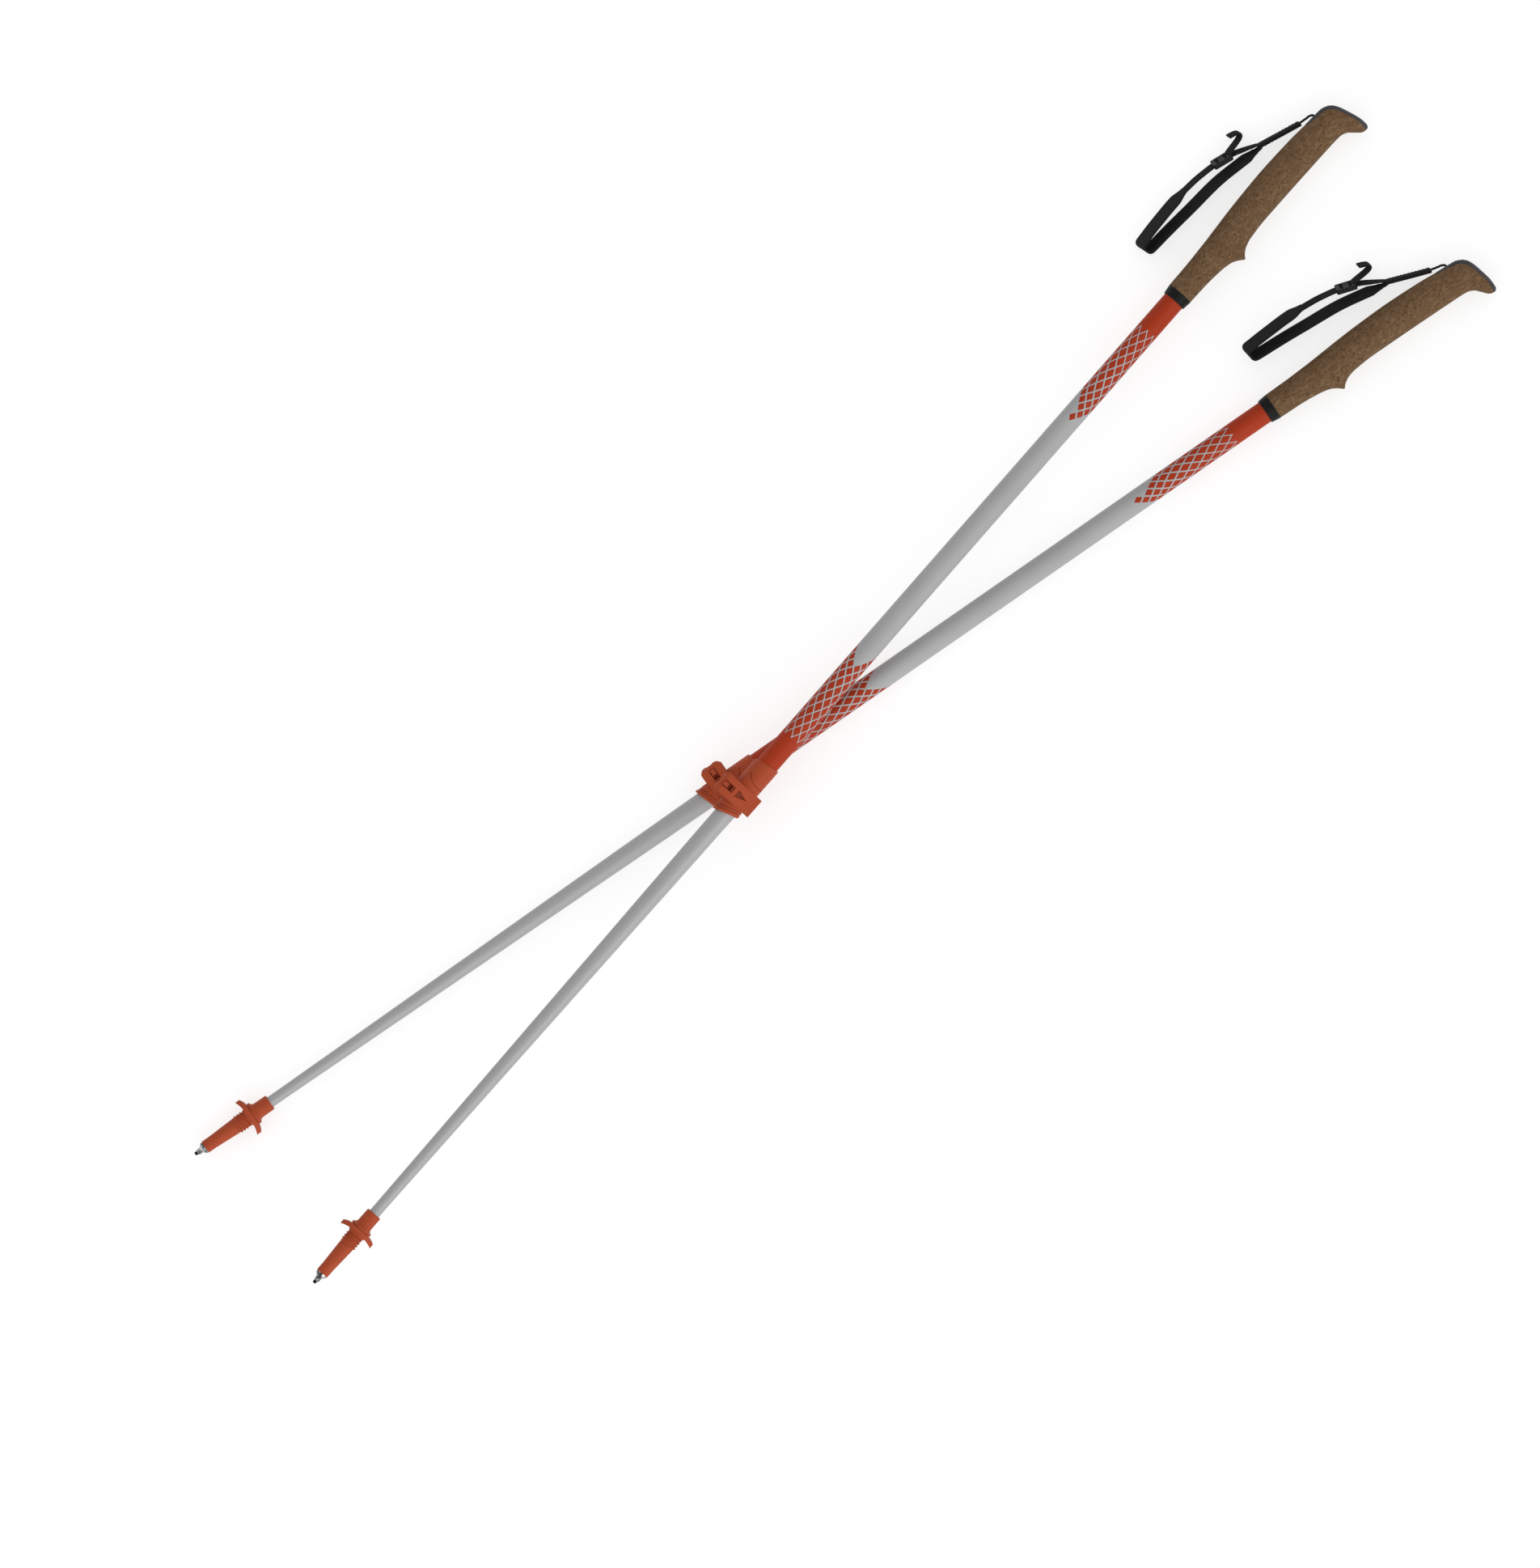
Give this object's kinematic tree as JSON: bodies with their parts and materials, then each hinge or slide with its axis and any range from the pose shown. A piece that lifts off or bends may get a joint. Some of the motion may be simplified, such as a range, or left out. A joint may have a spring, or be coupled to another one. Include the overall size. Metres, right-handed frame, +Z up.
{
  "type": "trekking poles",
  "caption": "Pair of two-section telescoping trekking poles lying crossed, with cork grips, webbing wrist straps, lever locks and carbide tips.",
  "frame": {"origin": "bottom centre of the crossed pair, on the floor", "axes": "+X along the line midway between the poles, from tips to grips; +Y to the side where the left pole's grip lies; +Z up"},
  "size_m": [1.0978, 0.2088, 0.0534],
  "materials": {
    "carbide": "dark hard metal, ground",
    "chrome": "polished",
    "orange_plastic": "satin orange-red moulded plastic",
    "silver_tube": "satin anodised",
    "red_tube": "satin lacquer, red with a pale lattice and silver middle",
    "black_plastic": "fine moulded texture",
    "steel": "plated",
    "cap_rubber": "ribbed",
    "cork": "pressed cork with dark flecks",
    "strap_cord": "braided",
    "webbing": "woven"
  },
  "bodies": {
    "right_pole": {"right_upper_tube": "red_tube", "right_lock_collar": "orange_plastic", "right_lever_pin": "steel", "right_tension_bolt": "orange_plastic", "right_grip_core": "black_plastic", "right_grip_cork": "cork", "right_grip_cap": "cap_rubber", "right_strap_pin": "steel"},
    "right_shaft": {"right_lower_tube": "silver_tube", "right_lower_bush": "black_plastic", "right_tip_ferrule": "orange_plastic", "right_tip_holder": "chrome", "right_carbide_tip": "carbide"},
    "right_lever": {"right_lock_lever": "orange_plastic"},
    "right_nut": {"right_tension_nut": "steel"},
    "right_strap": {"right_strap_link": "strap_cord", "right_strap_hem": "webbing", "right_strap_palm": "webbing", "right_strap_near": "webbing", "right_strap_adjuster": "webbing", "right_strap_tail": "webbing", "right_strap_buckle": "black_plastic"},
    "left_pole": {"left_upper_tube": "red_tube", "left_lock_collar": "orange_plastic", "left_lever_pin": "steel", "left_tension_bolt": "orange_plastic", "left_grip_core": "black_plastic", "left_grip_cork": "cork", "left_grip_cap": "cap_rubber", "left_strap_pin": "steel"},
    "left_shaft": {"left_lower_tube": "silver_tube", "left_lower_bush": "black_plastic", "left_tip_ferrule": "orange_plastic", "left_tip_holder": "chrome", "left_carbide_tip": "carbide"},
    "left_lever": {"left_lock_lever": "orange_plastic"},
    "left_nut": {"left_tension_nut": "steel"},
    "left_strap": {"left_strap_link": "strap_cord", "left_strap_hem": "webbing", "left_strap_palm": "webbing", "left_strap_near": "webbing", "left_strap_adjuster": "webbing", "left_strap_tail": "webbing", "left_strap_buckle": "black_plastic"}
  },
  "joints": [
    {"name": "left_pole_lift", "type": "slide", "parent": "right_pole", "child": "left_pole", "axis": [0, 0, 1], "range_m": [0, 0.3]},
    {"name": "right_shaft_slide", "type": "slide", "parent": "right_pole", "child": "right_shaft", "axis": [-0.9925, 0.1222, -0.0041], "range_m": [-0.34, 0.19]},
    {"name": "right_lever_hinge", "type": "hinge", "parent": "right_pole", "child": "right_lever", "pos_m": [-0.09757, 0.0095, 0.01916], "axis": [-0.9925, 0.1222, -0.0041], "range_deg": [0, 90]},
    {"name": "right_nut_turn", "type": "hinge", "parent": "right_pole", "child": "right_nut", "pos_m": [-0.09753, 0.0095, 0.00816], "axis": [-0.0041, 0.0005, 1], "range_deg": [-360, 360]},
    {"name": "right_strap_swing", "type": "hinge", "parent": "right_pole", "child": "right_strap", "pos_m": [0.52414, -0.07248, 0.01322], "axis": [-0.0041, 0.0005, 1], "range_deg": [-15, 4]},
    {"name": "left_shaft_slide", "type": "slide", "parent": "left_pole", "child": "left_shaft", "axis": [-0.992, -0.1221, 0.0309], "range_m": [-0.34, 0.19]},
    {"name": "left_lever_hinge", "type": "hinge", "parent": "left_pole", "child": "left_lever", "pos_m": [-0.09649, -0.00269, 0.04036], "axis": [-0.992, -0.1221, 0.0309], "range_deg": [0, 90]},
    {"name": "left_nut_turn", "type": "hinge", "parent": "left_pole", "child": "left_nut", "pos_m": [-0.09682, -0.00273, 0.02936], "axis": [0.0307, 0.0038, 0.9995], "range_deg": [-360, 360]},
    {"name": "left_strap_swing", "type": "hinge", "parent": "left_pole", "child": "left_strap", "pos_m": [0.52597, 0.06851, 0.01249], "axis": [0.0307, 0.0038, 0.9995], "range_deg": [-15, 4]}
  ],
  "couplings": [
    {"joint": "right_lever_hinge", "follows": "left_pole_lift", "rad_per_m": 5.236}
  ]
}
